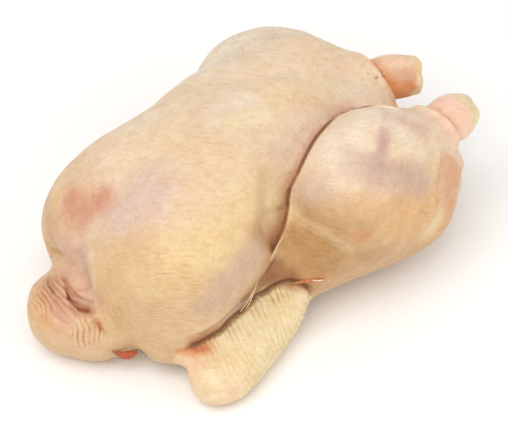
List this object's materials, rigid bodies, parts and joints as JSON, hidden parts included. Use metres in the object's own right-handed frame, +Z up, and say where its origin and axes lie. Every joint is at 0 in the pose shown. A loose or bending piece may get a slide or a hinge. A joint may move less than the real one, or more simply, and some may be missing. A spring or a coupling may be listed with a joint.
{
  "type": "whole raw chicken",
  "caption": "Whole raw plucked chicken lying on its back: round breast, folded wings, plump legs with bare hock ends and a tucked neck flap.",
  "frame": {"origin": "middle of the bounding box in plan, on the surface the bird lies on", "axes": "+Z up, +X from the neck end to the hock ends, +Y across the bird"},
  "size_m": [0.263, 0.1788, 0.1139],
  "materials": {
    "raw_skin": "moist pale raw poultry skin, cream to pink and yellow, satin sheen"
  },
  "bodies": {
    "root": {"chicken": "raw_skin"}
  },
  "joints": []
}
